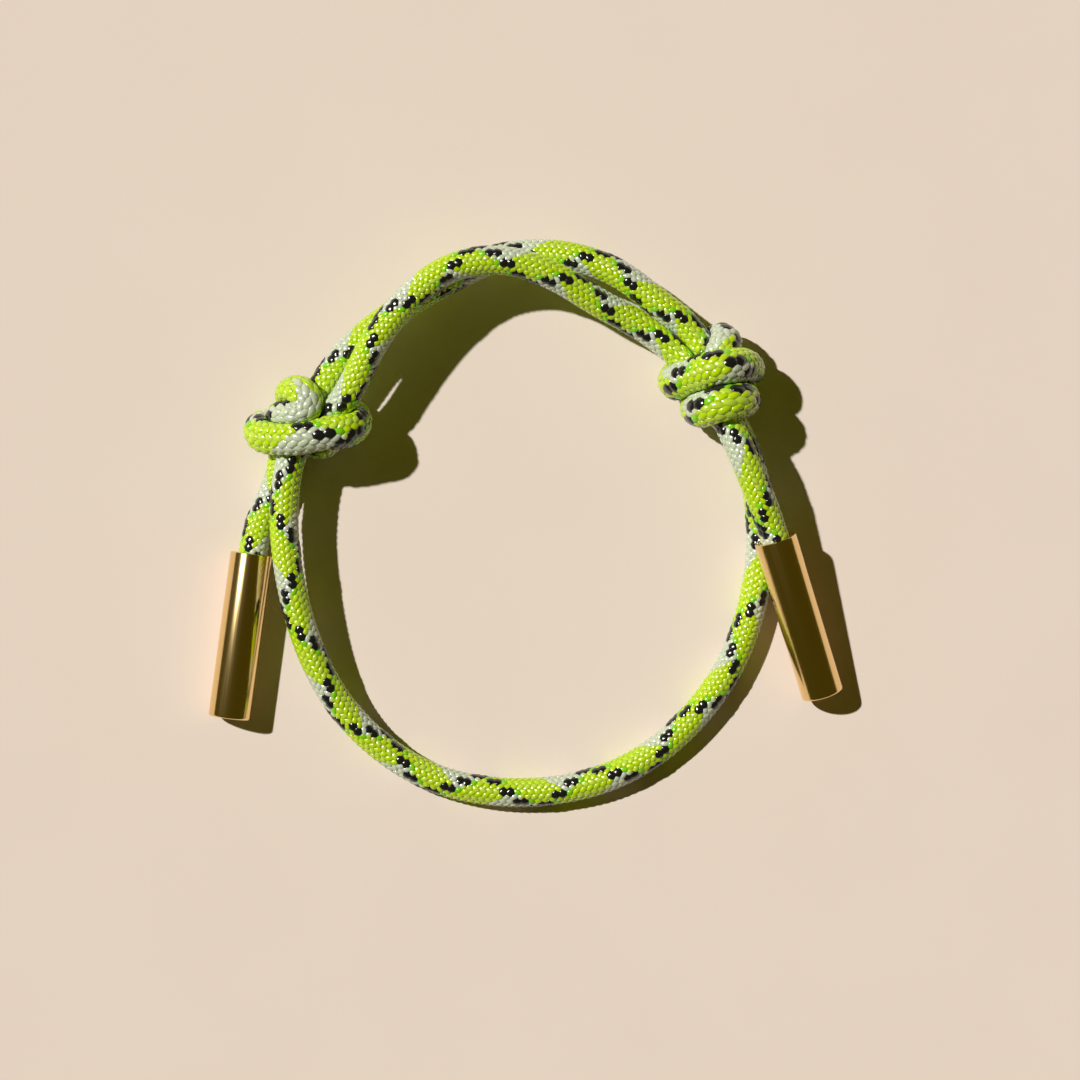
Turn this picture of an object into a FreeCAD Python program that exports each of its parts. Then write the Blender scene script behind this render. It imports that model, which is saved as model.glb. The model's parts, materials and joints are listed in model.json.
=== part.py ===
import FreeCAD, Part
import math
import os

import Sketcher

from FreeCAD import Placement, Rotation, Vector

# Adjustable wristband of one braided cord, lying flat on a table. The cord makes a
# wrist loop whose two ends overlap, each end is knotted round the other strand with a
# sliding knot, and each tail carries a metal end cap.
# Millimetres, +Z up, the table is z = 0, the origin is under the middle of the whole.

doc = FreeCAD.newDocument("wristband")
doc.recompute()

# ---------------------------------------------------------------- driving dimensions

SIZES = [
    ("cord_dia", 4.0),
    ("sheath_wall", 0.55),
    ("yarn_dia", 0.92),
    ("cap_dia", 5.8),
    ("cap_length", 22.6),
    ("cap_bore_dia", 4.3),
    ("cap_bore_depth", 9.0),
    ("cap_bevel", 0.3),
    ("mouth_bevel", 0.15),
    ("tail_insert", 7.5),
    ("tip_length", 1.0),
    ("glue_setback", 0.4),
    ("slide_clearance", 0.06),
    ("core_yarns", 7),
]

sheet = doc.addObject("Spreadsheet::Sheet", "sizes")
for row, (alias, value) in enumerate(SIZES, start=1):
    sheet.set(f"A{row}", alias.replace("_", " "))
    sheet.set(f"B{row}", str(value))
    sheet.setAlias(f"B{row}", alias)
doc.recompute()

CORD_R = sheet.cord_dia / 2
BORE_R = CORD_R - sheet.sheath_wall

# --------------------------------------------------------------------- cord routes
# Corner points of each stretch, which the cord rounds. A stretch ends in line with
# the first run of the next one.

FRONT_OVERLAP = [
    (-25.5, 14.3, 8.2),
    (-23.6, 17.8, 8.5),
    (-20.5, 24.3, 9.5),
    (-15.9, 30.1, 9.6),
    (-10.2, 34.5, 9.6),
    (-2.8, 35.5, 9.5),
    (4.0, 33.2, 8.7),
    (10.1, 29.4, 6.8),
    (14.8, 26.6, 5.48),
    (18.0, 24.2, 5.3),
]

BACK_OVERLAP = [
    (-26.1, 20.5, 6.1),
    (-23.9, 23.6, 6.1),
    (-17.6, 28.6, 5.1),
    (-10.8, 32.9, 5.1),
    (-3.5, 36.2, 5.1),
    (4.5, 36.6, 5.3),
    (12.2, 34.2, 5.9),
    (18.6, 30.0, 5.6),
    (22.3, 27.4, 5.1),
    (24.9, 24.3, 4.8),
]

BAND = [
    (18.0, 24.2, 5.3),
    (21.6, 21.5, 5.1),
    (27.5, 15.0, 5.1),
    (31.1, 6.9, 4.7),
    (32.3, -1.6, 2.0),
    (31.4, -10.0, 2.0),
    (28.9, -18.1, 2.0),
    (24.3, -25.3, 2.0),
    (18.3, -31.2, 2.0),
    (10.9, -35.3, 2.0),
    (2.6, -37.0, 2.0),
    (-5.9, -36.9, 2.0),
    (-14.0, -34.7, 2.0),
    (-21.0, -30.0, 2.6),
    (-26.5, -23.6, 3.9),
    (-30.0, -16.0, 5.3),
    (-32.1, -7.8, 6.1),
    (-33.0, 0.6, 6.1),
    (-32.0, 9.1, 6.1),
    (-28.6, 17.0, 6.1),
    (-26.1, 20.5, 6.1),
]

# Each side: where the knot sits, which way the cord runs through it towards the
# overlap, its half height, the cap's mouth and far end, and the tail's corner points
# from inside the knot to the bend before the cap.
SIDES = {
    "left": dict(
        knot=Vector(-28.8, 14.0, 5.95),
        along=Vector(0.593, 0.805, 0),
        mouth=Vector(-37.42, -4.31, 2.9),
        far_end=Vector(-40.46, -26.72, 2.9),
        tail=[(-31.9, 9.6, 2.0), (-33.4, 6.9, 2.0), (-35.2, 2.6, 2.1)],
    ),
    "right": dict(
        knot=Vector(25.4, 18.4, 5.95),
        along=Vector(-0.571, 0.821, 0),
        mouth=Vector(33.70, -2.27, 6.9),
        far_end=Vector(40.50, -23.51, 2.9),
        tail=[(27.2, 13.4, 9.3), (28.9, 9.7, 9.3), (30.9, 5.0, 8.7)],
    ),
}

# Slices of a knot: distance along the cord, half width, half height.
KNOT_SLICES = [
    (-6.6, 4.0, 3.7),
    (-4.2, 6.3, 5.5),
    (-0.3, 6.1, 5.4),
    (3.3, 6.5, 5.6),
    (6.0, 4.2, 3.9),
]

# How far before the cap's mouth the tail has its last bend.
BEND_BEFORE_CAP = 2.4

# How much of the shorter of two runs the arc between them takes.
ARC_SHARE = 0.45

# The air between one core yarn and the next.
YARN_GAP = 0.02


def rounded_path(points):
    """Straight runs joined by tangent arcs, as one wire, and its tightest radius."""
    corners = [Vector(*p) for p in points]
    edges = []
    start = corners[0]
    tightest = None
    for before, corner, after in zip(corners, corners[1:], corners[2:]):
        run_in = corner - before
        run_out = after - corner
        turn = run_in.getAngle(run_out)
        reach = ARC_SHARE * min(run_in.Length, run_out.Length)
        radius = reach / math.tan(turn / 2)
        tightest = radius if tightest is None else min(tightest, radius)
        arc_in = corner - run_in.normalize() * reach
        arc_out = corner + run_out.normalize() * reach
        bisector = (arc_in + arc_out) * 0.5 - corner
        to_middle = radius / math.cos(turn / 2) - radius
        middle = corner + bisector.normalize() * to_middle
        edges.append(Part.LineSegment(start, arc_in).toShape())
        edges.append(Part.Arc(arc_in, middle, arc_out).toShape())
        start = arc_out
    edges.append(Part.LineSegment(start, corners[-1]).toShape())
    return Part.Wire(edges), tightest


def swept_round(path, radius, aside=Vector(0, 0, 0)):
    """A round rod along the path, its centre set aside from the path's own line."""
    first = path.Edges[0]
    start = first.Vertexes[0].Point
    direction = first.Vertexes[1].Point - start
    turn = Rotation(Vector(0, 0, 1), direction)
    centre = start + turn.multVec(aside)
    circle = Part.Wire(Part.Circle(centre, direction, radius).toShape())
    return path.makePipeShell([circle], True, False)


def add_shape(label, shape):
    """A sub-part whose shape is worked out here."""
    feature = doc.addObject("Part::Feature", label)
    feature.Label = label
    feature.Shape = shape
    feature.Placement = Placement()
    return feature


def add_cord(name, path):
    """The braided sheath and, inside it, the straight core yarns of one stretch."""
    outer = swept_round(path, CORD_R)
    sheath = outer.cut(swept_round(path, BORE_R))
    share = sheath.Volume / (math.pi * (CORD_R**2 - BORE_R**2) * path.Length)
    yarns = [swept_round(path, sheet.yarn_dia / 2)]
    around = int(sheet.core_yarns) - 1
    for i in range(around):
        angle = 2 * math.pi * i / around
        aside = Vector(math.cos(angle), math.sin(angle), 0) * (sheet.yarn_dia + YARN_GAP)
        yarns.append(swept_round(path, sheet.yarn_dia / 2, aside))
    print(f"{name}: length {path.Length:.1f}, sheath volume against section {share:.4f}")
    return [
        add_shape(f"{name}_sheath", sheath),
        add_shape(f"{name}_core_yarns", Part.makeCompound(yarns)),
    ]


def add_turned(label, outline, placement):
    """A body turned about its own Z axis. The outline gives each corner's radius and
    height as expressions on the sheet; a corner on the axis has the radius None."""
    body = doc.addObject("PartDesign::Body", label)
    body.Label = label
    plane = next(f for f in body.Origin.OriginFeatures if f.Role == "XZ_Plane")
    sketch = body.newObject("Sketcher::SketchObject", label + "_outline")
    sketch.AttachmentSupport = (plane, [""])
    sketch.MapMode = "FlatFace"
    corners = []
    for radius, height in outline:
        x = sheet.evalExpression(radius) if radius else 0.0
        corners.append(Vector(x, sheet.evalExpression(height), 0))
    for i, corner in enumerate(corners):
        line = Part.LineSegment(corner, corners[(i + 1) % len(corners)])
        sketch.addGeometry(line, False)
    for i in range(len(corners)):
        after = (i + 1) % len(corners)
        sketch.addConstraint(Sketcher.Constraint("Coincident", i, 2, after, 1))
    for i, (radius, height) in enumerate(outline):
        if radius is None:
            sketch.addConstraint(Sketcher.Constraint("PointOnObject", i, 1, -2))
        else:
            across = Sketcher.Constraint("DistanceX", -1, 1, i, 1, corners[i].x)
            number = sketch.addConstraint(across)
            sketch.setExpression(f"Constraints[{number}]", radius)
        if height == "0":
            sketch.addConstraint(Sketcher.Constraint("PointOnObject", i, 1, -1))
        else:
            up = Sketcher.Constraint("DistanceY", -1, 1, i, 1, corners[i].y)
            number = sketch.addConstraint(up)
            sketch.setExpression(f"Constraints[{number}]", height)
    turned = body.newObject("PartDesign::Revolution", label + "_turned")
    turned.Profile = sketch
    turned.ReferenceAxis = (sketch, ["V_Axis"])
    turned.Angle = 360
    sketch.Visibility = False
    body.Placement = placement
    return body


CAP_OUTLINE = [
    (None, "sizes.cap_bore_depth"),
    ("sizes.cap_bore_dia / 2", "sizes.cap_bore_depth"),
    ("sizes.cap_bore_dia / 2", "0"),
    ("sizes.cap_dia / 2 - sizes.mouth_bevel", "0"),
    ("sizes.cap_dia / 2", "sizes.mouth_bevel"),
    ("sizes.cap_dia / 2", "sizes.cap_length - sizes.cap_bevel"),
    ("sizes.cap_dia / 2 - sizes.cap_bevel", "sizes.cap_length"),
    (None, "sizes.cap_length"),
]

GLUE_OUTLINE = [
    (None, "sizes.tail_insert + sizes.tip_length"),
    ("sizes.cord_dia / 2", "sizes.tail_insert + sizes.tip_length"),
    ("sizes.cord_dia / 2", "sizes.glue_setback"),
    ("sizes.cap_bore_dia / 2", "sizes.glue_setback"),
    ("sizes.cap_bore_dia / 2", "sizes.cap_bore_depth"),
    (None, "sizes.cap_bore_depth"),
]


def add_fused_tip(label, mouth, direction):
    """The melted end of the cord, deep in the cap."""
    tip = doc.addObject("Part::Cylinder", label)
    tip.Label = label
    tip.setExpression("Radius", "sizes.cord_dia / 2")
    tip.setExpression("Height", "sizes.tip_length")
    turn = Rotation(Vector(0, 0, 1), direction)
    tip.Placement = Placement(mouth + direction * sheet.tail_insert, turn)
    return tip


def knot_lump(side):
    """The outer shape of a knot: oval slices across the cord's way through it."""
    along = side["along"]
    across = Vector(along.y, -along.x, 0)
    slices = []
    for distance, half_width, half_height in KNOT_SLICES:
        centre = side["knot"] + along * distance
        wide = centre + across * half_width
        high = centre + Vector(0, 0, half_height)
        slices.append(Part.Wire(Part.Ellipse(wide, high, centre).toShape()))
    return Part.makeLoft(slices, True, False)


def add_side(name, side, passing, own_strand):
    """One sliding knot with its tail, end cap, glue and melted cord end."""
    direction = (side["far_end"] - side["mouth"]).normalize()
    bend = side["mouth"] - direction * BEND_BEFORE_CAP
    tail_end = side["mouth"] + direction * sheet.tail_insert
    tail, tightest = rounded_path(side["tail"] + [tuple(bend), tuple(tail_end)])
    print(f"{name}_tail: tightest radius {tightest:.1f}")
    cord = add_cord(f"{name}_tail", tail)
    lump = knot_lump(side)
    lump = lump.cut(swept_round(passing, CORD_R + sheet.slide_clearance))
    lump = lump.cut(swept_round(own_strand, CORD_R + sheet.slide_clearance))
    lump = lump.cut(swept_round(tail, CORD_R))
    solids = sorted(lump.Solids, key=lambda s: s.Volume)
    print(f"{name}_knot: {len(solids)} solids, volume {solids[-1].Volume:.0f}")
    knot = add_shape(f"{name}_knot", solids[-1])
    at_mouth = Placement(side["mouth"], Rotation(Vector(0, 0, 1), direction))
    cap = add_turned(f"{name}_end_cap", CAP_OUTLINE, at_mouth)
    glue = add_turned(f"{name}_cap_adhesive", GLUE_OUTLINE, at_mouth)
    tip = add_fused_tip(f"{name}_fused_tip", side["mouth"], direction)
    return [knot, *cord, cap, glue, tip]


paths = {}
for stretch, route in [
    ("band", BAND),
    ("front_overlap", FRONT_OVERLAP),
    ("back_overlap", BACK_OVERLAP),
]:
    paths[stretch], tightest_radius = rounded_path(route)
    print(f"{stretch}: tightest radius {tightest_radius:.1f}")

nodes = []
for stretch, path in paths.items():
    nodes += add_cord(stretch, path)

# The band passes through both knots. The front strand is the left knot's own end,
# the back strand the right knot's.
nodes += add_side("left", SIDES["left"], paths["band"], paths["front_overlap"])
nodes += add_side("right", SIDES["right"], paths["band"], paths["back_overlap"])
doc.recompute()

for thing in doc.Objects:
    if "Invalid" in thing.State or "Error" in thing.State:
        raise RuntimeError(f"{thing.Label} failed: {thing.State}")
for node in nodes:
    if node.Shape.isNull() or not node.Shape.isValid():
        raise RuntimeError(f"{node.Label} has no valid shape")

os.makedirs("parts", exist_ok=True)
for node in nodes:
    node.Shape.exportStep(f"parts/{node.Label}.step")
print(f"{len(nodes)} sub-parts written")
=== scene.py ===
import json
import math

import bmesh
import bpy
import numpy as np
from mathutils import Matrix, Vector

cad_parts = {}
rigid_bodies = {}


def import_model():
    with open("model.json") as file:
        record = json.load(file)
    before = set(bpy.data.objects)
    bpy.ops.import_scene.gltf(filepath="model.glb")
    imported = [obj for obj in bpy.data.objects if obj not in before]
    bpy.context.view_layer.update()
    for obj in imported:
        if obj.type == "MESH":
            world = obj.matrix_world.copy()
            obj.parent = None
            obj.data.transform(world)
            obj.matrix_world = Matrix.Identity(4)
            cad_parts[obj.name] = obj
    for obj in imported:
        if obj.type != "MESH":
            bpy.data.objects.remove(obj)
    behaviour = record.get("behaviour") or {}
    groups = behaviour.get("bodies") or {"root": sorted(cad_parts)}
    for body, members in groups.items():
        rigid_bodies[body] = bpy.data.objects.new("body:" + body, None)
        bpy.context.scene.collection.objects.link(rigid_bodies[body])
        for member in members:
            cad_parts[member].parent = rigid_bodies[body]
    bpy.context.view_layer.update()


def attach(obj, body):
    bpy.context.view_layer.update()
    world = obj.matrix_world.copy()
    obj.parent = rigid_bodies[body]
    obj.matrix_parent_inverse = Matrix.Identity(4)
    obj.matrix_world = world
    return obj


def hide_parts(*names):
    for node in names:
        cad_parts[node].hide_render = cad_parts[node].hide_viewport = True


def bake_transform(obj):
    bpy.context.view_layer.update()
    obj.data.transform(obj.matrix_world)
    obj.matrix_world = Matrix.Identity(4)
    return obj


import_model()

scene = bpy.context.scene
scene.view_settings.view_transform = "Standard"
for thing in bpy.data.objects:
    thing.select_set(False)

# ------------------------------------------------------------------ driving values
# Metres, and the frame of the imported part: +Z up, the table is z = 0.

CORD_DIAMETER = 0.0040
CORD_RADIUS = CORD_DIAMETER / 2
BRAID_PITCH = 0.0150  # one turn of a yarn round the cord
YARNS_EACH_WAY = 16
YARN_HALF_WIDTH = 0.00029
YARN_SPREAD = 0.00015  # how much wider a yarn lies on top, and narrower underneath
YARN_HALF_THICKNESS = 0.00017
YARN_SWAY = 0.00013  # how far a yarn rises and dips as it passes over and under
BRAID_MID_RADIUS = CORD_RADIUS - YARN_HALF_THICKNESS - YARN_SWAY
CORE_YARNS = 7
CORE_YARN_RADIUS = 0.00038
CORE_TURN_LENGTH = 0.020
YARN_STEP = 0.00019  # along the cord, between one ring of a yarn and the next
CORE_STEP = 0.0006
CORE_CORNERS = 8
CORE_SPACING = 2.1  # from the middle core yarn to the others, in yarn radii

CAMERA_HEIGHT = 0.452  # above the middle of a strand that lies on the table
VIEW_CENTRE = (0.0019, -0.00245)
VIEW_WIDTH = 0.1476  # at the height of that strand's middle
SENSOR_WIDTH = 36.0  # millimetres
NEAREST_SEEN = 0.01

SMALL = 1e-6  # nothing is divided by less, and nearer than this is the same place
SMALLER = 1e-9

# --------------------------------------------------------------------- cord route
# The band is one cord. It starts in the left cap, winds the left knot, runs along
# the overlap in front, through the right knot, round the band, through the left
# knot, along the overlap behind, winds the right knot and ends in the right cap.

LEFT_KNOT = (-0.0288, 0.0140)
LEFT_ALONG = (0.593, 0.805)
RIGHT_KNOT = (0.0254, 0.0184)
RIGHT_ALONG = (-0.571, 0.821)

LEFT_TAIL = [
    (-0.03843, -0.01174, 0.0029),
    (-0.03710, -0.00193, 0.0029),
    (-0.0352, 0.0026, 0.0021),
    (-0.0334, 0.0069, 0.0020),
    (-0.0319, 0.0096, 0.0020),
]

# A knot's own strand: how far along the cord, how far across it, and how high.
LEFT_WRAPS = [
    (-0.0045, -0.0019, 0.0038),
    (-0.0031, -0.0027, 0.0059),
    (-0.0013, -0.0016, 0.0072),
    (0.0008, 0.0006, 0.0079),
    (0.0026, 0.0009, 0.0090),
    (0.0023, -0.0020, 0.0099),
    (0.0009, -0.0042, 0.0088),
    (-0.0002, -0.0050, 0.0062),
    (0.0002, -0.0046, 0.0033),
    (0.0020, -0.0015, 0.0016),
    (0.0036, 0.0025, 0.0017),
    (0.0043, 0.0042, 0.0038),
    (0.0043, 0.0045, 0.0060),
    (0.0029, 0.0044, 0.0082),
    (0.0008, 0.0037, 0.0096),
    (-0.0016, 0.0026, 0.0104),
    (-0.0034, 0.0008, 0.0108),
    (-0.0044, -0.0010, 0.0106),
    (-0.0045, -0.0020, 0.0092),
    (-0.0042, -0.0026, 0.0064),
    (-0.0034, -0.0026, 0.0036),
    (-0.0027, -0.0014, 0.0017),
    (-0.0026, 0.0015, 0.0016),
    (-0.0028, 0.0042, 0.0027),
    (-0.0026, 0.0046, 0.0050),
    (-0.0010, 0.0034, 0.0071),
]

FRONT_OVERLAP = [
    (-0.0255, 0.0143, 0.0082),
    (-0.0236, 0.0178, 0.0085),
    (-0.0205, 0.0243, 0.0095),
    (-0.0159, 0.0301, 0.0096),
    (-0.0102, 0.0345, 0.0096),
    (-0.0028, 0.0355, 0.0095),
    (0.0040, 0.0332, 0.0087),
    (0.0101, 0.0294, 0.0068),
    (0.0149, 0.0271, 0.0055),
    (0.0182, 0.0248, 0.0053),
]

BAND = [
    (0.0217, 0.0220, 0.0051),
    (0.0275, 0.0150, 0.0051),
    (0.0311, 0.0069, 0.0047),
    (0.0323, -0.0016, 0.0020),
    (0.0314, -0.0100, 0.0020),
    (0.0289, -0.0181, 0.0020),
    (0.0243, -0.0253, 0.0020),
    (0.0183, -0.0312, 0.0020),
    (0.0109, -0.0353, 0.0020),
    (0.0026, -0.0370, 0.0020),
    (-0.0059, -0.0369, 0.0020),
    (-0.0140, -0.0347, 0.0020),
    (-0.0210, -0.0300, 0.0026),
    (-0.0265, -0.0236, 0.0039),
    (-0.0300, -0.0160, 0.0053),
    (-0.0321, -0.0078, 0.0061),
    (-0.0330, 0.0006, 0.0061),
    (-0.0320, 0.0091, 0.0061),
    (-0.0286, 0.0170, 0.0061),
]

BACK_OVERLAP = [
    (-0.0261, 0.0205, 0.0061),
    (-0.0239, 0.0236, 0.0061),
    (-0.0176, 0.0286, 0.0051),
    (-0.0108, 0.0329, 0.0051),
    (-0.0035, 0.0362, 0.0051),
    (0.0045, 0.0366, 0.0053),
    (0.0122, 0.0342, 0.0060),
    (0.0182, 0.0294, 0.0060),
    (0.0219, 0.0267, 0.0055),
    (0.0246, 0.0238, 0.0050),
]

RIGHT_WRAPS = [
    (0.0032, 0.0030, 0.0060),
    (0.0002, 0.0032, 0.0050),
    (-0.0026, 0.0024, 0.0034),
    (-0.0042, 0.0016, 0.0026),
    (-0.0044, 0.0020, 0.0044),
    (-0.0040, 0.0021, 0.0074),
    (-0.0036, 0.0012, 0.0098),
    (-0.0035, -0.0004, 0.0106),
    (-0.0030, -0.0020, 0.0100),
    (-0.0017, -0.0034, 0.0082),
    (-0.0011, -0.0038, 0.0050),
    (-0.0007, -0.0032, 0.0022),
    (-0.0006, 0.0000, 0.0015),
    (-0.0009, 0.0040, 0.0020),
    (-0.0012, 0.0059, 0.0044),
    (-0.0010, 0.0062, 0.0074),
    (0.0005, 0.0050, 0.0098),
    (0.0016, 0.0023, 0.0110),
    (0.0024, -0.0005, 0.0110),
    (0.0031, -0.0028, 0.0094),
    (0.0035, -0.0036, 0.0066),
    (0.0037, -0.0034, 0.0038),
    (0.0042, -0.0020, 0.0018),
    (0.0045, 0.0008, 0.0017),
    (0.0048, 0.0030, 0.0028),
    (0.0046, 0.0034, 0.0050),
    (0.0038, 0.0024, 0.0070),
    (0.0020, 0.0006, 0.0078),
    (-0.0010, -0.0008, 0.0082),
    (-0.0034, -0.0013, 0.0088),
]

RIGHT_TAIL = [
    (0.0272, 0.0134, 0.0093),
    (0.0289, 0.0097, 0.0093),
    (0.0309, 0.0050, 0.0087),
    (0.03298, -0.00002, 0.00732),
    (0.03595, -0.00930, 0.00558),
]


def in_knot(knot, along, wraps):
    """Points of a knot's own strand, placed in the frame."""
    across = (along[1], -along[0])
    placed = []
    for a, b, z in wraps:
        x = knot[0] + a * along[0] + b * across[0]
        y = knot[1] + a * along[1] + b * across[1]
        placed.append((x, y, z))
    return placed


# ------------------------------------------------------------------------- camera

camera_data = bpy.data.cameras.new("camera")
camera_data.sensor_width = SENSOR_WIDTH
camera_data.lens = SENSOR_WIDTH * CAMERA_HEIGHT / VIEW_WIDTH
camera_data.clip_start = NEAREST_SEEN
camera = bpy.data.objects.new("camera", camera_data)
camera.location = (*VIEW_CENTRE, CAMERA_HEIGHT + CORD_RADIUS)
scene.collection.objects.link(camera)
scene.camera = camera


# --------------------------------------------------------------- the cord's line

SPLINE_ORDER = 3
SPLINE_POINTS = 12  # between one control point and the next


def spline_line(name, points):
    """The points along a smooth cord that has these control points."""
    curve = bpy.data.curves.new(name, "CURVE")
    curve.dimensions = "3D"
    curve.resolution_u = SPLINE_POINTS
    spline = curve.splines.new("NURBS")
    spline.points.add(len(points) - 1)
    for control, point in zip(spline.points, points):
        control.co = (*point, 1)
    spline.order_u = SPLINE_ORDER
    spline.use_endpoint_u = True
    holder = bpy.data.objects.new(name, curve)
    mesh = bpy.data.meshes.new_from_object(holder)
    line = np.array([v.co[:] for v in mesh.vertices])
    bpy.data.objects.remove(holder)
    bpy.data.curves.remove(curve)
    bpy.data.meshes.remove(mesh)
    return line


def distances_along(line):
    """How far along the line each of its points is."""
    steps = np.linalg.norm(np.diff(line, axis=0), axis=1)
    return np.concatenate([[0], np.cumsum(steps)])


def read_along(wanted, at, rows):
    """The rows at the wanted distances, where at has the distance of each row."""
    return np.stack([np.interp(wanted, at, rows[:, k]) for k in range(3)], axis=-1)


def evenly(line, step):
    """The same line with points a step apart."""
    at = distances_along(line)
    wanted = np.linspace(0, at[-1], int(round(at[-1] / step)) + 1)
    return read_along(wanted, at, line)


def place_of(line, point):
    """How far along the line its nearest point to this one is."""
    nearest = np.linalg.norm(line - np.array(point), axis=1).argmin()
    return distances_along(line)[nearest]


ROUTE = LEFT_TAIL + in_knot(LEFT_KNOT, LEFT_ALONG, LEFT_WRAPS) + FRONT_OVERLAP
ROUTE += BAND + BACK_OVERLAP + in_knot(RIGHT_KNOT, RIGHT_ALONG, RIGHT_WRAPS)
ROUTE += RIGHT_TAIL

SETTLE_STEP = 0.0005
SETTLE_ROUNDS = 160
CONTACT_DISTANCE = 0.0028  # between the middles of strands that press together
FLOOR_CONTACT = 0.0016
OWN_REACH = 0.0060  # nearer than this along the cord is the same stretch
KNOT_ZONE = 0.0105  # from a knot's middle, seen from above
KNOT_ZONE_FADE = 0.003
FREE_PAST_KNOT = 0.006
FREE_FADE = 0.004
PUSH_SHARE = 0.5  # of the deepest overlap, in each round
RELAX_SHARE = 0.4  # of the way to the middle of its neighbours, in each round
CORD_STEP = 0.0001


def settle_knots(line):
    """Strands that lie in each other push apart until they only press together.
    The strand that a knot slides on stays where it is."""
    line = line.copy()
    knots = np.array([LEFT_KNOT, RIGHT_KNOT])
    near = np.linalg.norm(line[:, None, :2] - knots, axis=2).min(axis=1)
    at = distances_along(line)
    free_before = place_of(line, FRONT_OVERLAP[0]) + FREE_PAST_KNOT
    free_after = place_of(line, BACK_OVERLAP[-1]) - FREE_PAST_KNOT
    own = np.clip((free_before - at) / FREE_FADE, 0, 1)
    own += np.clip((at - free_after) / FREE_FADE, 0, 1)
    freedom = np.clip((KNOT_ZONE - near) / KNOT_ZONE_FADE, 0, 1) * np.clip(own, 0, 1)
    zone = np.flatnonzero(near < KNOT_ZONE + KNOT_ZONE_FADE)
    apart = np.abs(zone[:, None] - zone[None, :]) * SETTLE_STEP
    other = apart > OWN_REACH
    weight = freedom[zone][:, None]
    last = len(line) - 1
    for _ in range(SETTLE_ROUNDS):
        here = line[zone]
        offset = here[:, None, :] - here[None, :, :]
        gap = np.linalg.norm(offset, axis=2)
        press = np.where(other, np.maximum(CONTACT_DISTANCE - gap, 0), 0)
        away = offset / np.maximum(gap, SMALL)[:, :, None] * press[:, :, None]
        total = np.maximum(press.sum(axis=1, keepdims=True), SMALLER)
        deepest = press.max(axis=1, keepdims=True)
        push = away.sum(axis=1) / total * deepest * PUSH_SHARE
        before = line[np.maximum(zone - 1, 0)]
        after = line[np.minimum(zone + 1, last)]
        relax = ((before + after) / 2 - here) * RELAX_SHARE
        here = here + (push + relax) * weight
        here[:, 2] = np.where(weight[:, 0] > 0, np.maximum(here[:, 2], FLOOR_CONTACT), here[:, 2])
        line[zone] = here
    return line


cord_line = evenly(spline_line("cord_route", ROUTE), SETTLE_STEP)
cord_line = settle_knots(cord_line)
cord_line = evenly(cord_line, CORD_STEP)
cord_at = distances_along(cord_line)
CORD_LENGTH = cord_at[-1]


def cord_frames(line, first):
    """Two directions across the cord at each point, carried both ways along it from
    the first without twisting. There, the one points out of the wrist loop."""
    tangents = np.gradient(line, axis=0)
    tangents /= np.linalg.norm(tangents, axis=1, keepdims=True)
    side = np.zeros_like(line)
    outward = np.cross(tangents[first], (0, 0, 1))
    if outward @ line[first] < 0:
        outward = -outward
    side[first] = outward / np.linalg.norm(outward)
    steps = [(i, i - 1) for i in range(first + 1, len(line))]
    steps += [(i, i + 1) for i in range(first - 1, -1, -1)]
    for here, before in steps:
        carried = side[before] - tangents[here] * (side[before] @ tangents[here])
        side[here] = carried / np.linalg.norm(carried)
    return side, np.cross(tangents, side)


BAND_MIDDLE = place_of(cord_line, BAND[9])
cord_side, cord_up = cord_frames(cord_line, int(np.searchsorted(cord_at, BAND_MIDDLE)))

# ------------------------------------------------------- how the cord is squashed

SQUASH_STEP = 0.00025
SQUASH_ANGLES = 40
CONTACT_GAP = 0.00002
FLOOR_GAP = 0.00009
NEIGHBOUR_REACH = 0.0085  # strands further off than this can't touch
UNSQUASHED = 10.0
MOST_SQUASHED = 0.35  # the least share of its radius that the cord is pressed to
KEPT_AREA = 1.0
MOST_BULGE = 1.3
BULGE_ROUNDS = 12
SMOOTH_ROUNDS = 3
ROW_MARGIN = 1.001  # keeps the row after the one that is read inside the table
KNOT_SWELL = 1.12  # the cord's core bunches up where it is bent tightly in a knot
SWELL_FADE = 0.005
LEFT_SWELL = (place_of(cord_line, LEFT_TAIL[-1]), place_of(cord_line, FRONT_OVERLAP[0]))
RIGHT_SWELL = (place_of(cord_line, BACK_OVERLAP[-1]), place_of(cord_line, RIGHT_TAIL[0]))


def swelling(places):
    """How much wider than the free cord the cord is, at each place along it."""
    inside = np.zeros(len(places))
    for start, end in (LEFT_SWELL, RIGHT_SWELL):
        fade_in = np.clip((places - start) / SWELL_FADE, 0, 1)
        fade_out = np.clip((end - places) / SWELL_FADE, 0, 1)
        inside = np.maximum(inside, fade_in * fade_out)
    return 1.0 + (KNOT_SWELL - 1.0) * inside


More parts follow.
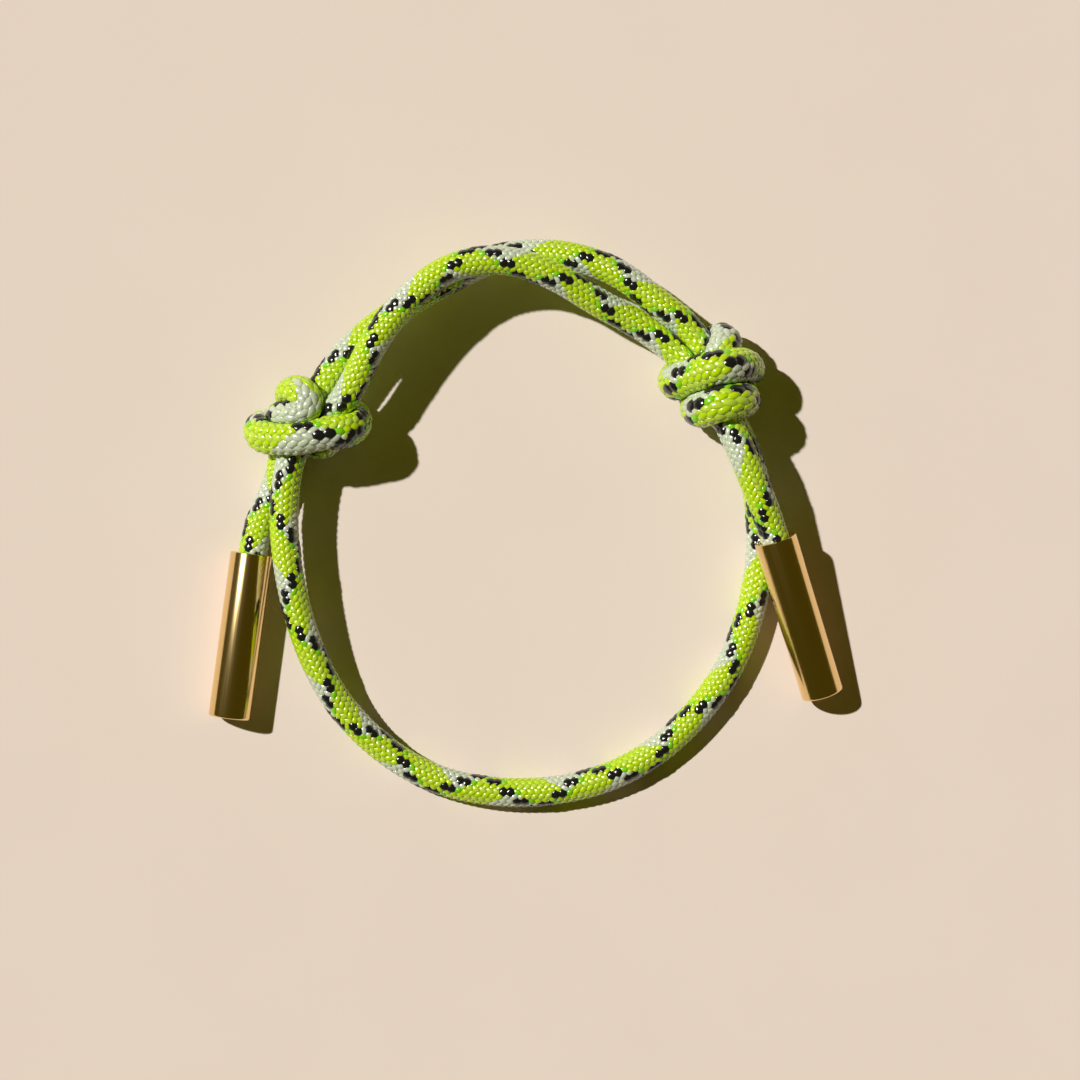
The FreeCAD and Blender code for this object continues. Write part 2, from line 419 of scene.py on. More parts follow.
def squash_limits(line, side, up):
    """How far the cord reaches each way round before it meets another strand or the
    table, as a share of its radius, with the squeezed cord bulging elsewhere."""
    angles = np.linspace(0, 2 * math.pi, SQUASH_ANGLES, endpoint=False)
    ways = np.cos(angles)[None, :, None] * side[:, None, :]
    ways = ways + np.sin(angles)[None, :, None] * up[:, None, :]
    count = len(line)
    limits = np.full((count, SQUASH_ANGLES), UNSQUASHED)
    places = np.arange(count) * SQUASH_STEP
    for i in range(count):
        offset = line - line[i]
        square = (offset**2).sum(axis=1)
        other = (np.abs(places - places[i]) > OWN_REACH) & (square < NEIGHBOUR_REACH**2)
        if other.any():
            towards = ways[i] @ offset[other].T
            meets = square[other][None, :] / np.maximum(2 * towards, SMALLER)
            limits[i] = meets.min(axis=1) - CONTACT_GAP
    down = np.maximum(-ways[:, :, 2], SMALL)
    limits = np.minimum(limits, (line[:, 2:3] - FLOOR_GAP) / down)
    limits = np.maximum(limits / CORD_RADIUS, MOST_SQUASHED)
    swell = swelling(places)[:, None]
    bulge = swell
    for _ in range(BULGE_ROUNDS):
        reach = np.minimum(limits, bulge)
        area = (reach**2).mean(axis=1, keepdims=True)
        bulge = np.minimum(bulge * swell * np.sqrt(KEPT_AREA / area), MOST_BULGE)
        bulge = np.maximum(bulge, swell)
    reach = np.minimum(limits, bulge)
    for _ in range(SMOOTH_ROUNDS):
        reach = (np.roll(reach, 1, axis=1) + np.roll(reach, -1, axis=1) + 2 * reach) / 4
        padded = np.concatenate([reach[:1], reach, reach[-1:]])
        reach = (padded[:-2] + padded[2:] + 2 * reach) / 4
    return np.minimum(reach, limits)


squash_line = evenly(cord_line, SQUASH_STEP)
squash_at = distances_along(squash_line)
squash_side = read_along(squash_at, cord_at, cord_side)
squash_up = read_along(squash_at, cord_at, cord_up)
squash = squash_limits(squash_line, squash_side, squash_up)


def on_cord(at, angle, radius):
    """Points this far along the cord, this way round it and this far from its line."""
    last_row = len(squash_at) - ROW_MARGIN
    row = np.clip(at / squash_at[-1] * (len(squash_at) - 1), 0, last_row)
    column = np.mod(angle, 2 * math.pi) / (2 * math.pi) * SQUASH_ANGLES
    row_low = row.astype(int)
    column_low = column.astype(int) % SQUASH_ANGLES
    row_share = row - row_low
    column_share = column - np.floor(column)
    column_high = (column_low + 1) % SQUASH_ANGLES
    low = squash[row_low, column_low] * (1 - column_share)
    low = low + squash[row_low, column_high] * column_share
    high = squash[row_low + 1, column_low] * (1 - column_share)
    high = high + squash[row_low + 1, column_high] * column_share
    radius = radius * (low * (1 - row_share) + high * row_share)
    across = (radius * np.cos(angle))[..., None]
    over = (radius * np.sin(angle))[..., None]
    middle = read_along(at, cord_at, cord_line)
    side = read_along(at, cord_at, cord_side)
    up = read_along(at, cord_at, cord_up)
    return middle + side * across + up * over


# ------------------------------------------------------------------ braided sheath

YARN_OUTLINE = [  # across the yarn and out from the cord's middle, in half sizes
    (-1.0, -0.15),
    (-0.62, 0.68),
    (0.0, 1.0),
    (0.62, 0.68),
    (1.0, -0.15),
    (0.0, -0.75),
]
# Where the two black tracers cross: a place on the cord, the half turns of a yarn
# that lie before it, and the turns that the cord is twisted by there.
TRACER_CROSSINGS = [
    ((-0.0362, 0.0002, 0.0025), 1, -0.09),
    ((-0.0309, 0.0172, 0.0077), 4, 0.04),
    ((-0.0255, 0.0118, 0.0088), 7, -0.036),
    ((-0.0222, 0.0208, 0.0090), 11, 0.0),
    ((0.0141, 0.0270, 0.0057), 17, 0.0),
    ((0.0315, -0.0086, 0.0020), 22, 0.0),
    ((-0.0326, 0.0035, 0.0061), 36, 0.0),
    ((-0.0261, 0.0205, 0.0061), 38, 0.0),
    ((-0.0098, 0.0332, 0.0051), 41, 0.0),
    ((0.0178, 0.0305, 0.0056), 45, 0.0),
    ((0.0229, 0.0249, 0.0054), 46, 0.0),
    ((0.0262, 0.0156, 0.0100), 48, 0.17),
    ((0.0238, 0.0201, 0.0096), 52, -0.017),
    ((0.0303, 0.0063, 0.0088), 57, -0.03),
]
crossing_at = [place_of(cord_line, place) for place, _, _ in TRACER_CROSSINGS]
crossing_turns = [half_turns / 2 for _, half_turns, _ in TRACER_CROSSINGS]
crossing_twist = [twist for _, _, twist in TRACER_CROSSINGS]
start_turns = crossing_turns[0] - crossing_at[0] / BRAID_PITCH
end_turns = crossing_turns[-1] + (CORD_LENGTH - crossing_at[-1]) / BRAID_PITCH
crossing_turns = [start_turns, *crossing_turns, end_turns]
crossing_twist = [crossing_twist[0], *crossing_twist, crossing_twist[-1]]
crossing_at = [0.0, *crossing_at, CORD_LENGTH]
YARN_SLOPE = math.atan(2 * math.pi * BRAID_MID_RADIUS / BRAID_PITCH)
CROSSINGS_EACH_TURN = 2 * YARNS_EACH_WAY
FLAT_CROWN = 0.5
LIME, SILVER, BLACK, GREEN, TINTED = 0, 1, 2, 3, 4
YARN_ORDER = [BLACK] + [SILVER] * 7 + [LIME] * 6 + [GREEN, BLACK]
TRACER_FULLNESS = 1.55  # a tracer yarn's width beside the others
TRACER_CROWN = 1.8  # a tracer yarn stays up for longer, so its crowns nearly meet
TRACER_RISE = 0.00006  # a tracer yarn is thicker, so it stands a little higher
PATTERN = 4  # a yarn passes over two others and under two, and then over again
FIRST_BEAT = {1: 0.5, -1: 1.5}  # where in its pattern a yarn of each winding starts
UV_PER_METRE = 1000
UV_YARN_GAP = 1.37  # in yarn outlines, so that no two yarns have the same marks


def yarn_colour(handed, number):
    """The two windings carry the same colours, in opposite order round the cord."""
    order = np.array(YARN_ORDER)
    return order[np.mod(-handed * number, YARNS_EACH_WAY).astype(int)]


def colour_along(handed, number, turns):
    """A yarn's colour: a clear silver yarn looks pale lime where lime lies under it."""
    own = yarn_colour(handed, number)
    crossed = yarn_colour(-handed, np.rint(number + handed * CROSSINGS_EACH_TURN * turns))
    tinted = (own == SILVER) & np.isin(crossed, (LIME, GREEN))
    return np.where(tinted, TINTED, own)


def braid_stretch(name, start, end, materials):
    """The sheath of one stretch of the cord: every yarn passes over two and under two
    of those that wind the other way."""
    rings = int(math.ceil((end - start) / YARN_STEP)) + 1
    at = np.linspace(start, end, rings)
    outline = np.array(YARN_OUTLINE)
    corners = len(outline)
    vertices = []
    faces = []
    colours = []
    uvs = []
    base = 0
    turns = np.interp(at, crossing_at, crossing_turns)
    twist = np.interp(at, crossing_at, crossing_twist)
    for handed in (1, -1):
        for number in range(YARNS_EACH_WAY):
            crossing = CROSSINGS_EACH_TURN * turns
            beat = np.mod(crossing + 2 * handed * number, PATTERN) - FIRST_BEAT[handed]
            tracer = yarn_colour(handed, number) == BLACK
            flatness = TRACER_CROWN if tracer else FLAT_CROWN
            sway = np.tanh(flatness * np.cos(math.pi * beat / 2)) / math.tanh(flatness)
            round_cord = number / YARNS_EACH_WAY + handed * turns + twist
            middle_angle = 2 * math.pi * round_cord
            out = BRAID_MID_RADIUS + YARN_SWAY * sway
            half_width = YARN_HALF_WIDTH + YARN_SPREAD * sway
            if tracer:
                half_width = half_width * TRACER_FULLNESS
                out = out + TRACER_RISE
            width = outline[None, :, 0] * half_width[:, None]
            height = outline[None, :, 1] * YARN_HALF_THICKNESS
            turn = width * math.cos(YARN_SLOPE) / BRAID_MID_RADIUS
            shift = -handed * width * math.sin(YARN_SLOPE)
            where = np.clip(at[:, None] + shift, 0, CORD_LENGTH)
            points = on_cord(where, middle_angle[:, None] + turn, out[:, None] + height)
            vertices.append(points.reshape(-1, 3))
            ring = np.arange(rings - 1)[:, None] * corners + base
            corner = np.arange(corners)[None, :]
            after = (corner + 1) % corners
            next_ring = ring + corners
            sides = [next_ring + corner, next_ring + after, ring + after, ring + corner]
            faces.append(np.stack(sides, axis=-1).reshape(-1, 4))
            ring_turns = (turns[:-1] + turns[1:]) / 2
            colours.append(np.repeat(colour_along(handed, number, ring_turns), corners))
            long = at / math.cos(YARN_SLOPE) * UV_PER_METRE
            u_low = np.repeat(long[:-1, None], corners, axis=1)
            u_high = np.repeat(long[1:, None], corners, axis=1)
            v_low = np.repeat(corner, rings - 1, axis=0) + 0.0
            yarn_of_all = number + YARNS_EACH_WAY * (handed == 1)
            v_low = v_low + yarn_of_all * corners * UV_YARN_GAP
            uv = np.stack([
                np.stack([u_high, v_low], axis=-1),
                np.stack([u_high, v_low + 1], axis=-1),
                np.stack([u_low, v_low + 1], axis=-1),
                np.stack([u_low, v_low], axis=-1),
            ], axis=2)
            uvs.append(uv.reshape(-1, 2))
            base += rings * corners
    vertices = np.concatenate(vertices)
    quads = np.concatenate(faces)
    colours = np.concatenate(colours)
    uvs = np.concatenate(uvs)
    yarns = 2 * YARNS_EACH_WAY
    ends = []
    for yarn in range(yarns):
        first = yarn * rings * corners
        last = first + (rings - 1) * corners
        ends.append(list(range(first, first + corners)))
        ends.append(list(range(last, last + corners))[::-1])
    end_corners = [c for face in ends for c in face]
    mesh = bpy.data.meshes.new(name)
    mesh.vertices.add(len(vertices))
    mesh.vertices.foreach_set("co", vertices.ravel())
    loops = np.concatenate([quads.ravel(), np.array(end_corners)])
    starts = np.arange(len(quads)) * 4
    end_starts = len(quads) * 4 + np.arange(len(ends)) * corners
    mesh.loops.add(len(loops))
    mesh.loops.foreach_set("vertex_index", loops.astype(np.int32))
    mesh.polygons.add(len(quads) + len(ends))
    starts = np.concatenate([starts, end_starts]).astype(np.int32)
    mesh.polygons.foreach_set("loop_start", starts)
    for material in materials:
        mesh.materials.append(material)
    end_colours = np.repeat(colours.reshape(yarns, -1)[:, 0], 2)
    colours = np.concatenate([colours, end_colours]).astype(np.int32)
    mesh.polygons.foreach_set("material_index", colours)
    layer = mesh.uv_layers.new(name="along_yarn")
    end_uvs = np.zeros((len(end_corners), 2))
    uvs = np.concatenate([uvs, end_uvs]).astype(np.float32)
    layer.data.foreach_set("uv", uvs.ravel())
    mesh.update(calc_edges=True)
    mesh.validate()
    mesh.polygons.foreach_set("use_smooth", np.ones(len(mesh.polygons), bool))
    at_end = np.zeros(len(vertices), bool)
    at_end[end_corners] = True
    edges = np.zeros(len(mesh.edges) * 2, np.int32)
    mesh.edges.foreach_get("vertices", edges)
    pairs = edges.reshape(-1, 2)
    sharp = mesh.attributes.new("sharp_edge", "BOOLEAN", "EDGE")
    sharp.data.foreach_set("value", at_end[pairs].all(axis=1))
    piece = bpy.data.objects.new(name, mesh)
    scene.collection.objects.link(piece)
    return piece


def core_stretch(name, start, end, material):
    """The white yarns inside the sheath, one in the middle and six twisted round it."""
    rings = int(math.ceil((end - start) / CORE_STEP)) + 1
    at = np.linspace(start, end, rings)
    corners = CORE_CORNERS
    round_angles = np.linspace(0, 2 * math.pi, corners, endpoint=False)
    mesh = bpy.data.meshes.new(name)
    vertices = []
    faces = []
    for yarn in range(CORE_YARNS):
        base = len(vertices)
        turn = 2 * math.pi * (yarn / (CORE_YARNS - 1)) + 2 * math.pi * at / CORE_TURN_LENGTH
        out = 0.0 if yarn == CORE_YARNS - 1 else CORE_SPACING * CORE_YARN_RADIUS
        across = out * np.cos(turn)[:, None] + CORE_YARN_RADIUS * np.cos(round_angles)[None, :]
        over = out * np.sin(turn)[:, None] + CORE_YARN_RADIUS * np.sin(round_angles)[None, :]
        angle = np.arctan2(over, across)
        where = np.repeat(at[:, None], corners, axis=1)
        points = on_cord(where, angle, np.hypot(over, across))
        vertices += [tuple(p) for p in points.reshape(-1, 3)]
        for ring in range(rings - 1):
            for corner in range(corners):
                after = (corner + 1) % corners
                low = base + ring * corners
                high = low + corners
                faces.append((low + after, low + corner, high + corner, high + after))
        faces.append(tuple(base + c for c in range(corners)))
        top = base + (rings - 1) * corners
        faces.append(tuple(top + c for c in reversed(range(corners))))
    mesh.from_pydata(vertices, [], faces)
    mesh.materials.append(material)
    mesh.polygons.foreach_set("use_smooth", np.ones(len(mesh.polygons), bool))
    piece = bpy.data.objects.new(name, mesh)
    scene.collection.objects.link(piece)
    return piece


# ---------------------------------------------------------------------- materials


def woven_yarn(name, colour, shade, sheen_tint, roughness, glow):
    """Shiny filament yarn. The filaments run along the yarn's own UV map."""
    material = bpy.data.materials.new(name)
    material.use_nodes = True
    tree = material.node_tree
    tree.nodes.clear()
    nodes, links = tree.nodes, tree.links

    # The colour frame holds random dye patches and painted shade between the filaments.
    colour_frame = nodes.new("NodeFrame")
    colour_frame.label = "dye, uneven from yarn to yarn"
    relief_frame = nodes.new("NodeFrame")
    relief_frame.label = "filaments along the yarn"

    surface = nodes.new("ShaderNodeOutputMaterial")
    surface.label = "yarn surface"
    surface.location = (900, 0)
    nylon = nodes.new("ShaderNodeBsdfPrincipled")
    nylon.label = "nylon yarn"
    nylon.location = (600, 0)
    nylon.inputs["Roughness"].default_value = roughness
    nylon.inputs["IOR"].default_value = 1.53
    nylon.inputs["Specular IOR Level"].default_value = 0.9
    nylon.inputs["Sheen Weight"].default_value = 0.15
    nylon.inputs["Sheen Roughness"].default_value = 0.4
    nylon.inputs["Sheen Tint"].default_value = (*sheen_tint, 1)
    nylon.inputs["Subsurface Weight"].default_value = glow
    nylon.inputs["Subsurface Radius"].default_value = (0.0008, 0.0008, 0.0003)
    nylon.inputs["Subsurface Scale"].default_value = 1.0

    along = nodes.new("ShaderNodeUVMap")
    along.label = "along and round the yarn"
    along.uv_map = "along_yarn"
    along.location = (-900, -200)
    drawn_out = nodes.new("ShaderNodeMapping")
    drawn_out.label = "filaments are long and thin"
    drawn_out.location = (-700, -200)
    drawn_out.inputs["Scale"].default_value = (0.9, 5.0, 1.0)
    drawn_out.inputs["Rotation"].default_value = (0, 0, 0.12)
    drawn_out.parent = relief_frame
    filament = nodes.new("ShaderNodeTexNoise")
    filament.label = "filaments"
    filament.location = (-480, -200)
    filament.inputs["Scale"].default_value = 1.6
    filament.inputs["Detail"].default_value = 3.0
    filament.parent = relief_frame
    relief = nodes.new("ShaderNodeBump")
    relief.label = "filament relief"
    relief.location = (300, -250)
    relief.inputs["Strength"].default_value = 0.35
    relief.inputs["Distance"].default_value = 0.00004
    relief.parent = relief_frame

    place = nodes.new("ShaderNodeTexCoord")
    place.label = "place on the cord"
    place.location = (-900, 250)
    patches = nodes.new("ShaderNodeTexNoise")
    patches.label = "dye patches"
    patches.location = (-480, 250)
    patches.inputs["Scale"].default_value = 260.0
    patches.inputs["Detail"].default_value = 2.0
    patches.parent = colour_frame
    dye = nodes.new("ShaderNodeMix")
    dye.label = "dye colour"
    dye.data_type = "RGBA"
    dye.location = (-200, 250)
    dye.inputs["A"].default_value = (*shade, 1)
    dye.inputs["B"].default_value = (*colour, 1)
    dye.parent = colour_frame
    # Painted shade: this mix and the map range below darken the colour where the filament relief
    # is low, standing in for shade between filaments.
    painted_filament_shade = nodes.new("ShaderNodeMix")
    painted_filament_shade.label = "darker between filaments"
    painted_filament_shade.data_type = "RGBA"
    painted_filament_shade.blend_type = "MULTIPLY"
    painted_filament_shade.location = (50, 200)
    painted_filament_shade.inputs["Factor"].default_value = 0.2
    painted_filament_shade.parent = colour_frame
    depth = nodes.new("ShaderNodeMapRange")
    depth.label = "how dark between filaments"
    depth.location = (-200, 0)
    depth.inputs["From Min"].default_value = 0.3
    depth.inputs["From Max"].default_value = 0.6
    depth.inputs["To Min"].default_value = 0.4
    depth.inputs["To Max"].default_value = 1.0
    depth.parent = colour_frame

    links.new(place.outputs["Object"], patches.inputs["Vector"])
    links.new(patches.outputs["Fac"], dye.inputs["Factor"])
    links.new(along.outputs["UV"], drawn_out.inputs["Vector"])
    links.new(drawn_out.outputs["Vector"], filament.inputs["Vector"])
    links.new(filament.outputs["Fac"], relief.inputs["Height"])
    links.new(filament.outputs["Fac"], depth.inputs["Value"])
    links.new(dye.outputs["Result"], painted_filament_shade.inputs["A"])
    links.new(depth.outputs["Result"], painted_filament_shade.inputs["B"])
    links.new(painted_filament_shade.outputs["Result"], nylon.inputs["Base Color"])
    links.new(relief.outputs["Normal"], nylon.inputs["Normal"])
    links.new(nylon.outputs["BSDF"], surface.inputs["Surface"])
    return material


YARN_LOOKS = [  # colour, darker shade, sheen tint, roughness, and light let through
    ("lime_yarn", (0.60, 0.90, 0.010), (0.52, 0.82, 0.006), (0.9, 1.0, 0.4), 0.16, 0.4),
    ("silver_yarn", (0.70, 0.79, 0.58), (0.60, 0.69, 0.48), (1.0, 1.0, 1.0), 0.16, 0.3),
    ("black_yarn", (0.010, 0.011, 0.013), (0.006, 0.007, 0.008), (0.5, 0.6, 0.6), 0.18, 0.0),
    ("core_yarn", (0.80, 0.80, 0.76), (0.68, 0.68, 0.62), (1.0, 1.0, 1.0), 0.5, 0.1),
    ("green_yarn", (0.30, 0.80, 0.010), (0.20, 0.70, 0.006), (0.7, 1.0, 0.4), 0.18, 0.4),
    ("tinted_yarn", (0.62, 0.88, 0.07), (0.54, 0.80, 0.04), (1.0, 1.0, 0.7), 0.16, 0.4),
]
lime_yarn, silver_yarn, black_yarn, core_yarn, green_yarn, tinted_yarn = [
    woven_yarn(*look) for look in YARN_LOOKS
]
braid_yarns = [lime_yarn, silver_yarn, black_yarn, green_yarn, tinted_yarn]


def polished_gold():
    """Plated and polished, with the fine lengthwise marks of polishing."""
    material = bpy.data.materials.new("polished_gold")
    material.use_nodes = True
    tree = material.node_tree
    tree.nodes.clear()
    nodes, links = tree.nodes, tree.links
    marks_frame = nodes.new("NodeFrame")
    marks_frame.label = "polishing marks"
    surface = nodes.new("ShaderNodeOutputMaterial")
    surface.label = "cap surface"
    surface.location = (900, 0)
    plate = nodes.new("ShaderNodeBsdfPrincipled")
    plate.label = "gold plate"
    plate.location = (600, 0)
    plate.inputs["Metallic"].default_value = 1.0
    plate.inputs["Base Color"].default_value = (0.92, 0.66, 0.30, 1)
    place = nodes.new("ShaderNodeUVMap")
    place.label = "round and along the cap"
    place.uv_map = "UVMap"
    place.location = (-900, 0)
    stretch = nodes.new("ShaderNodeMapping")
    stretch.label = "marks run along the cap"
    stretch.location = (-700, 0)
    stretch.inputs["Scale"].default_value = (90.0, 2.5, 1.0)
    stretch.parent = marks_frame
    marks = nodes.new("ShaderNodeTexNoise")
    marks.label = "marks"
    marks.location = (-480, 0)
    marks.inputs["Scale"].default_value = 1.0
    marks.inputs["Detail"].default_value = 5.0
    marks.parent = marks_frame
    dullness = nodes.new("ShaderNodeMapRange")
    dullness.label = "duller in the marks"
    dullness.location = (-200, 0)
    dullness.inputs["To Min"].default_value = 0.10
    dullness.inputs["To Max"].default_value = 0.24
    dullness.parent = marks_frame
    relief = nodes.new("ShaderNodeBump")
    relief.label = "mark depth"
    relief.location = (300, -250)
    relief.inputs["Strength"].default_value = 0.12
    relief.inputs["Distance"].default_value = 0.00002
    relief.parent = marks_frame
    links.new(place.outputs["UV"], stretch.inputs["Vector"])
    links.new(stretch.outputs["Vector"], marks.inputs["Vector"])
    links.new(marks.outputs["Fac"], dullness.inputs["Value"])
    links.new(marks.outputs["Fac"], relief.inputs["Height"])
    links.new(dullness.outputs["Result"], plate.inputs["Roughness"])
    links.new(relief.outputs["Normal"], plate.inputs["Normal"])
    links.new(plate.outputs["BSDF"], surface.inputs["Surface"])
    return material


def mottled(name, light, dark, scale, roughness, relief_depth):
    """A plain finish with soft mottling: glue, melted cord or paper."""
    material = bpy.data.materials.new(name)
    material.use_nodes = True
    tree = material.node_tree
    tree.nodes.clear()
    nodes, links = tree.nodes, tree.links
    mottle_frame = nodes.new("NodeFrame")
    mottle_frame.label = "mottling"
    surface = nodes.new("ShaderNodeOutputMaterial")
    surface.label = "surface"
    surface.location = (800, 0)
    body = nodes.new("ShaderNodeBsdfPrincipled")
    body.label = "body"
    body.location = (500, 0)
    body.inputs["Roughness"].default_value = roughness
    place = nodes.new("ShaderNodeTexCoord")
    place.label = "place on the piece"
    place.location = (-700, 0)
    cloud = nodes.new("ShaderNodeTexNoise")
    cloud.label = "clouding"
    cloud.location = (-450, 0)
    cloud.inputs["Scale"].default_value = scale
    cloud.inputs["Detail"].default_value = 4.0
    cloud.parent = mottle_frame
    tone = nodes.new("ShaderNodeMix")
    tone.label = "tone"
    tone.data_type = "RGBA"
    tone.location = (-150, 100)
    tone.inputs["A"].default_value = (*dark, 1)
    tone.inputs["B"].default_value = (*light, 1)
    tone.parent = mottle_frame
    relief = nodes.new("ShaderNodeBump")
    relief.label = "unevenness"
    relief.location = (200, -200)
    relief.inputs["Strength"].default_value = 0.3
    relief.inputs["Distance"].default_value = relief_depth
    relief.parent = mottle_frame
    links.new(place.outputs["Object"], cloud.inputs["Vector"])
    links.new(cloud.outputs["Fac"], tone.inputs["Factor"])
    links.new(cloud.outputs["Fac"], relief.inputs["Height"])
    links.new(tone.outputs["Result"], body.inputs["Base Color"])
    links.new(relief.outputs["Normal"], body.inputs["Normal"])
    links.new(body.outputs["BSDF"], surface.inputs["Surface"])
    return material


gold = polished_gold()
glue = mottled("glue", (0.50, 0.48, 0.38), (0.36, 0.34, 0.25), 900.0, 0.35, 0.0001)
melted_cord = mottled("melted_cord", (0.16, 0.26, 0.02), (0.02, 0.03, 0.01), 1500.0, 0.3, 0.0001)
paper = mottled("paper", (0.83, 0.72, 0.645), (0.80, 0.69, 0.615), 45.0, 0.9, 0.00002)

# ------------------------------------------------------------- stretches of cord

KNOT_OVERHANG = 0.0045  # how far a piece of the overlap reaches into its knot
LEFT_KNOT_END = place_of(cord_line, FRONT_OVERLAP[0]) - KNOT_OVERHANG
FRONT_END = place_of(cord_line, FRONT_OVERLAP[-1]) + KNOT_OVERHANG
FRONT_MIDDLE = (LEFT_KNOT_END + FRONT_END) / 2
BACK_START = place_of(cord_line, BACK_OVERLAP[0]) - KNOT_OVERHANG
RIGHT_KNOT_START = place_of(cord_line, BACK_OVERLAP[-1]) + KNOT_OVERHANG
BACK_MIDDLE = (BACK_START + RIGHT_KNOT_START) / 2
FRONT_STILL = cord_line[np.searchsorted(cord_at, FRONT_MIDDLE)]
BACK_STILL = cord_line[np.searchsorted(cord_at, BACK_MIDDLE)]
PATH_STRIDE = 5  # of the cord's points, between those that say where a cord lies
TAIL_REACH = 0.0092  # how far a tail reaches into its knot
LEFT_TAIL_END = place_of(cord_line, LEFT_TAIL[-1]) + TAIL_REACH
RIGHT_TAIL_START = place_of(cord_line, RIGHT_TAIL[0]) - TAIL_REACH
LEFT_MOVED = (-0.0205, 0.0243, 0.0070)
RIGHT_MOVED = (0.0160, 0.0280, 0.0055)
BAND_STILL = cord_line[np.searchsorted(cord_at, BAND_MIDDLE)]
BAND_RIGHT_MOVED = (0.0314, -0.0100, 0.0020)
BAND_LEFT_MOVED = (-0.0312, -0.0110, 0.0057)


def lay_stretch(name, start, end, still, body, stands_for):
    """The sheath and core of one stretch, attached to its knot's body unless it has a still
    point.
    """
    sheath = braid_stretch(name, start, end, braid_yarns)
    core = core_stretch(name + "_core", start, end, core_yarn)
    for piece in (sheath, core):
        if still is None:
            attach(piece, body)
        else:
            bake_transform(piece)
    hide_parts(stands_for[0])
    if len(stands_for) > 1:
        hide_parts(stands_for[1])
    middle = cord_line[(cord_at >= start) & (cord_at <= end)][::PATH_STRIDE]
    return sheath, middle


STRETCHES = [
    ("left_tail", 0.0, LEFT_TAIL_END, None, None, "left_slider",
     ["left_tail_sheath", "left_tail_core_yarns"]),
    ("left_knot_wraps", LEFT_TAIL_END, LEFT_KNOT_END, None, None, "left_slider",
     ["left_knot"]),
    ("front_overlap_left", LEFT_KNOT_END, FRONT_MIDDLE, FRONT_STILL, LEFT_MOVED,
     "left_slider", ["front_overlap_sheath", "front_overlap_core_yarns"]),
    ("front_overlap_right", FRONT_MIDDLE, FRONT_END, FRONT_STILL, RIGHT_MOVED,
     "right_slider", ["front_overlap_sheath", "front_overlap_core_yarns"]),
    ("band_right", FRONT_END, BAND_MIDDLE, BAND_STILL, BAND_RIGHT_MOVED,
     "right_slider", ["band_sheath", "band_core_yarns"]),
    ("band_left", BAND_MIDDLE, BACK_START, BAND_STILL, BAND_LEFT_MOVED,
     "left_slider", ["band_sheath", "band_core_yarns"]),
    ("back_overlap_left", BACK_START, BACK_MIDDLE, BACK_STILL, LEFT_MOVED,
     "left_slider", ["back_overlap_sheath", "back_overlap_core_yarns"]),
    ("back_overlap_right", BACK_MIDDLE, RIGHT_KNOT_START, BACK_STILL, RIGHT_MOVED,
     "right_slider", ["back_overlap_sheath", "back_overlap_core_yarns"]),
    ("right_knot_wraps", RIGHT_KNOT_START, RIGHT_TAIL_START, None, None, "right_slider",
     ["right_knot"]),
    ("right_tail", RIGHT_TAIL_START, CORD_LENGTH, None, None, "right_slider",
     ["right_tail_sheath", "right_tail_core_yarns"]),
]

tails = {}
for name, start, end, still, moved, body, stands_for in STRETCHES:
    piece, middle = lay_stretch(name, start, end, still, body, stands_for)
    print(name, round(end - start, 4), "m,", len(piece.data.polygons), "faces")
    if name.endswith("tail"):
        tails[name] = (piece, end - start, middle)

# ----------------------------------------------------------------------- end caps

CAP_RADIUS = 0.0029
CAP_LENGTH = 0.0226
CAP_BORE_RADIUS = 0.00215
CAP_BORE_DEPTH = 0.0090
CAP_EDGE = 0.0003
MOUTH_EDGE = 0.00015
BORE_EDGE = MOUTH_EDGE * 0.6
BORE_FLOOR_INSET = CAP_BORE_RADIUS * 0.4
CAP_SIDES = 128
CAP_SMOOTH_ANGLE = math.radians(25)
MOUTH_LEFT = Vector((-0.03742, -0.00431, 0.0029))
FAR_LEFT = Vector((-0.04046, -0.02672, 0.0029))
MOUTH_RIGHT = Vector((0.03370, -0.00227, 0.0069))
FAR_RIGHT = Vector((0.04050, -0.02351, 0.0029))


def select_rim(shell, height, radius):
    """Selects the edges of the circle at this height with this radius."""
    for face in shell.faces:
        face.select = False
    for edge in shell.edges:
        edge.select = False
    for vertex in shell.verts:
        vertex.select = False
    shell.select_mode = {"EDGE"}
    for edge in shell.edges:
        on_rim = [
            abs(v.co.z - height) < SMALL and abs(v.co.xy.length - radius) < SMALL
            for v in edge.verts
        ]
        edge.select = all(on_rim)


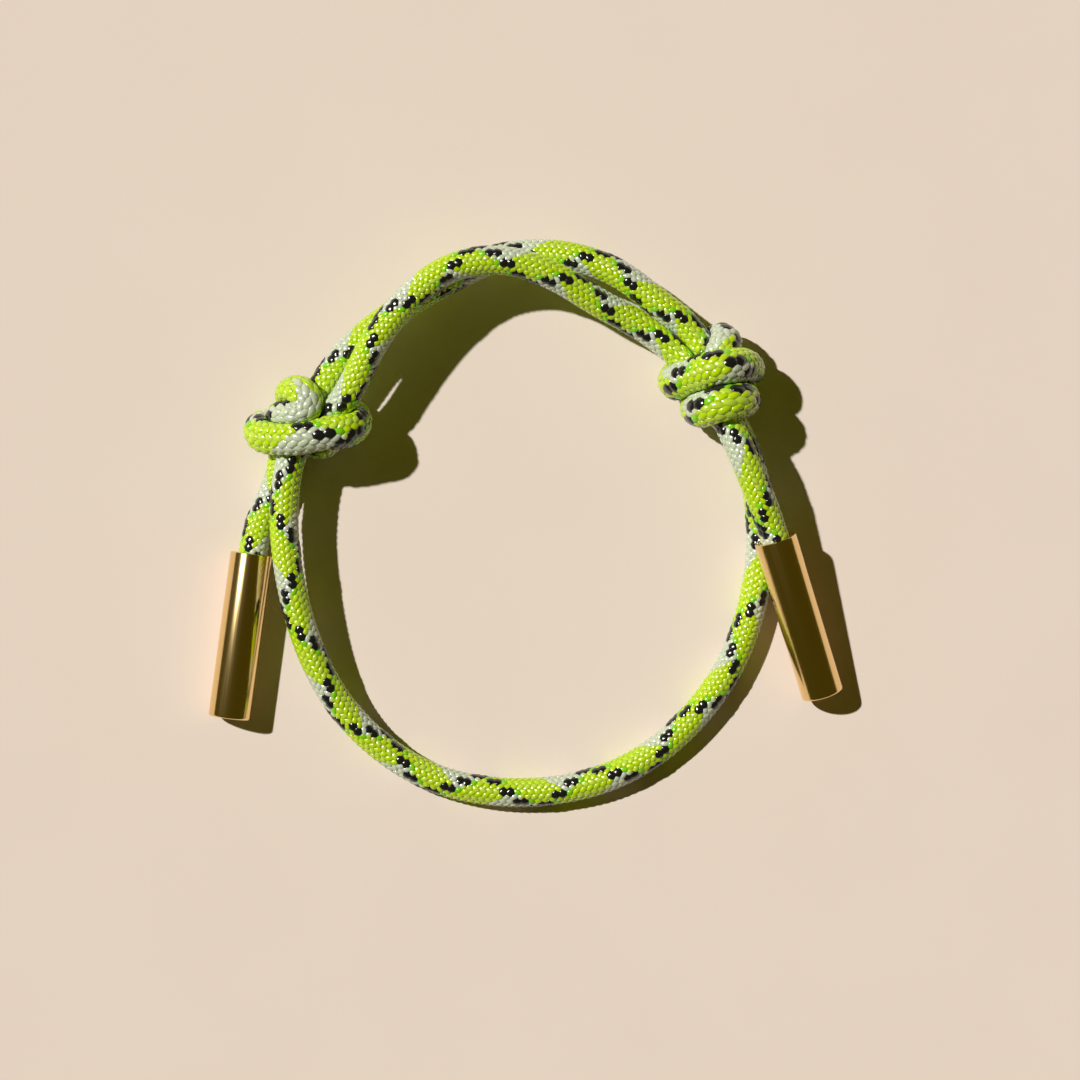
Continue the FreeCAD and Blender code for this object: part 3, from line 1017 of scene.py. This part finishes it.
def end_cap(name, mouth, far_end):
    """A barrel with a blind bore at its mouth, its edges eased."""
    bpy.ops.object.select_all(action="DESELECT")
    bpy.ops.mesh.primitive_cylinder_add(
        vertices=CAP_SIDES,
        radius=CAP_RADIUS,
        depth=CAP_LENGTH,
        location=(0, 0, CAP_LENGTH / 2),
    )
    cap = bpy.context.object
    cap.name = name
    cap.data.name = name
    bpy.ops.object.transform_apply(location=True, rotation=True, scale=True)
    bpy.ops.object.mode_set(mode="EDIT")
    bpy.ops.mesh.select_mode(type="FACE")
    bpy.ops.mesh.select_all(action="DESELECT")
    shell = bmesh.from_edit_mesh(cap.data)
    for face in shell.faces:
        face.select = abs(face.calc_center_median().z) < SMALL
    bmesh.update_edit_mesh(cap.data)
    bpy.ops.mesh.inset(thickness=CAP_RADIUS - CAP_BORE_RADIUS)
    bpy.ops.mesh.extrude_region_move(
        TRANSFORM_OT_translate={"value": (0, 0, CAP_BORE_DEPTH)}
    )
    bpy.ops.mesh.inset(thickness=BORE_FLOOR_INSET)
    bpy.ops.mesh.select_mode(type="EDGE")
    for height, radius, edge, steps in [
        (CAP_LENGTH, CAP_RADIUS, CAP_EDGE, 4),
        (0.0, CAP_RADIUS, MOUTH_EDGE, 3),
        (0.0, CAP_BORE_RADIUS, BORE_EDGE, 2),
    ]:
        shell = bmesh.from_edit_mesh(cap.data)
        select_rim(shell, height, radius)
        bmesh.update_edit_mesh(cap.data)
        bpy.ops.mesh.bevel(offset=edge, segments=steps)
    bpy.ops.object.mode_set(mode="OBJECT")
    bpy.ops.object.shade_smooth_by_angle(angle=CAP_SMOOTH_ANGLE)
    cap.rotation_mode = "QUATERNION"
    cap.rotation_quaternion = (far_end - mouth).to_track_quat("Z", "Y")
    cap.location = mouth
    bpy.ops.object.transform_apply(location=True, rotation=True, scale=True)
    cap.data.materials.clear()
    cap.data.materials.append(gold)
    return cap


left_cap = end_cap("left_gold_cap", MOUTH_LEFT, FAR_LEFT)
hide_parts("left_end_cap")
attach(left_cap, "left_slider")
right_cap = end_cap("right_gold_cap", MOUTH_RIGHT, FAR_RIGHT)
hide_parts("right_end_cap")
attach(right_cap, "right_slider")

for side in ("left", "right"):
    for node, finish in [("cap_adhesive", glue), ("fused_tip", melted_cord)]:
        cad_piece = bpy.data.objects[f"{side}_{node}"]
        for slot in cad_piece.material_slots:
            slot.material = finish

for name, cap in [("left_tail", left_cap), ("right_tail", right_cap)]:
    piece, length, middle = tails[name]
    if name == "left_tail":
        middle = middle[::-1]

# ---------------------------------------------------------------- floor and light

TABLE_SIZE = 3.0
SUN_STRENGTH = 3.65
SUN_SPREAD = math.radians(1.6)
SUN_COLOUR = (1.0, 0.97, 0.92)
SUN_TRAVEL = Vector((0.86, -0.50, -1.19))
ROOM_COLOUR = (1.0, 0.86, 0.06, 1)
ROOM_STRENGTH = 0.053

bpy.ops.object.select_all(action="DESELECT")
bpy.ops.mesh.primitive_plane_add(size=TABLE_SIZE, location=(0, 0, 0))
table = bpy.context.object
table.name = "table"
table.data.materials.append(paper)

sun_data = bpy.data.lights.new("sun", "SUN")
sun_data.energy = SUN_STRENGTH
sun_data.angle = SUN_SPREAD
sun_data.color = SUN_COLOUR
sun = bpy.data.objects.new("sun", sun_data)
sun.rotation_mode = "QUATERNION"
sun.rotation_quaternion = SUN_TRAVEL.to_track_quat("-Z", "Y")
scene.collection.objects.link(sun)

world = bpy.data.worlds.new("room")
world.use_nodes = True
glow_of_room = world.node_tree.nodes["Background"]
glow_of_room.inputs["Color"].default_value = ROOM_COLOUR
glow_of_room.inputs["Strength"].default_value = ROOM_STRENGTH
scene.world = world
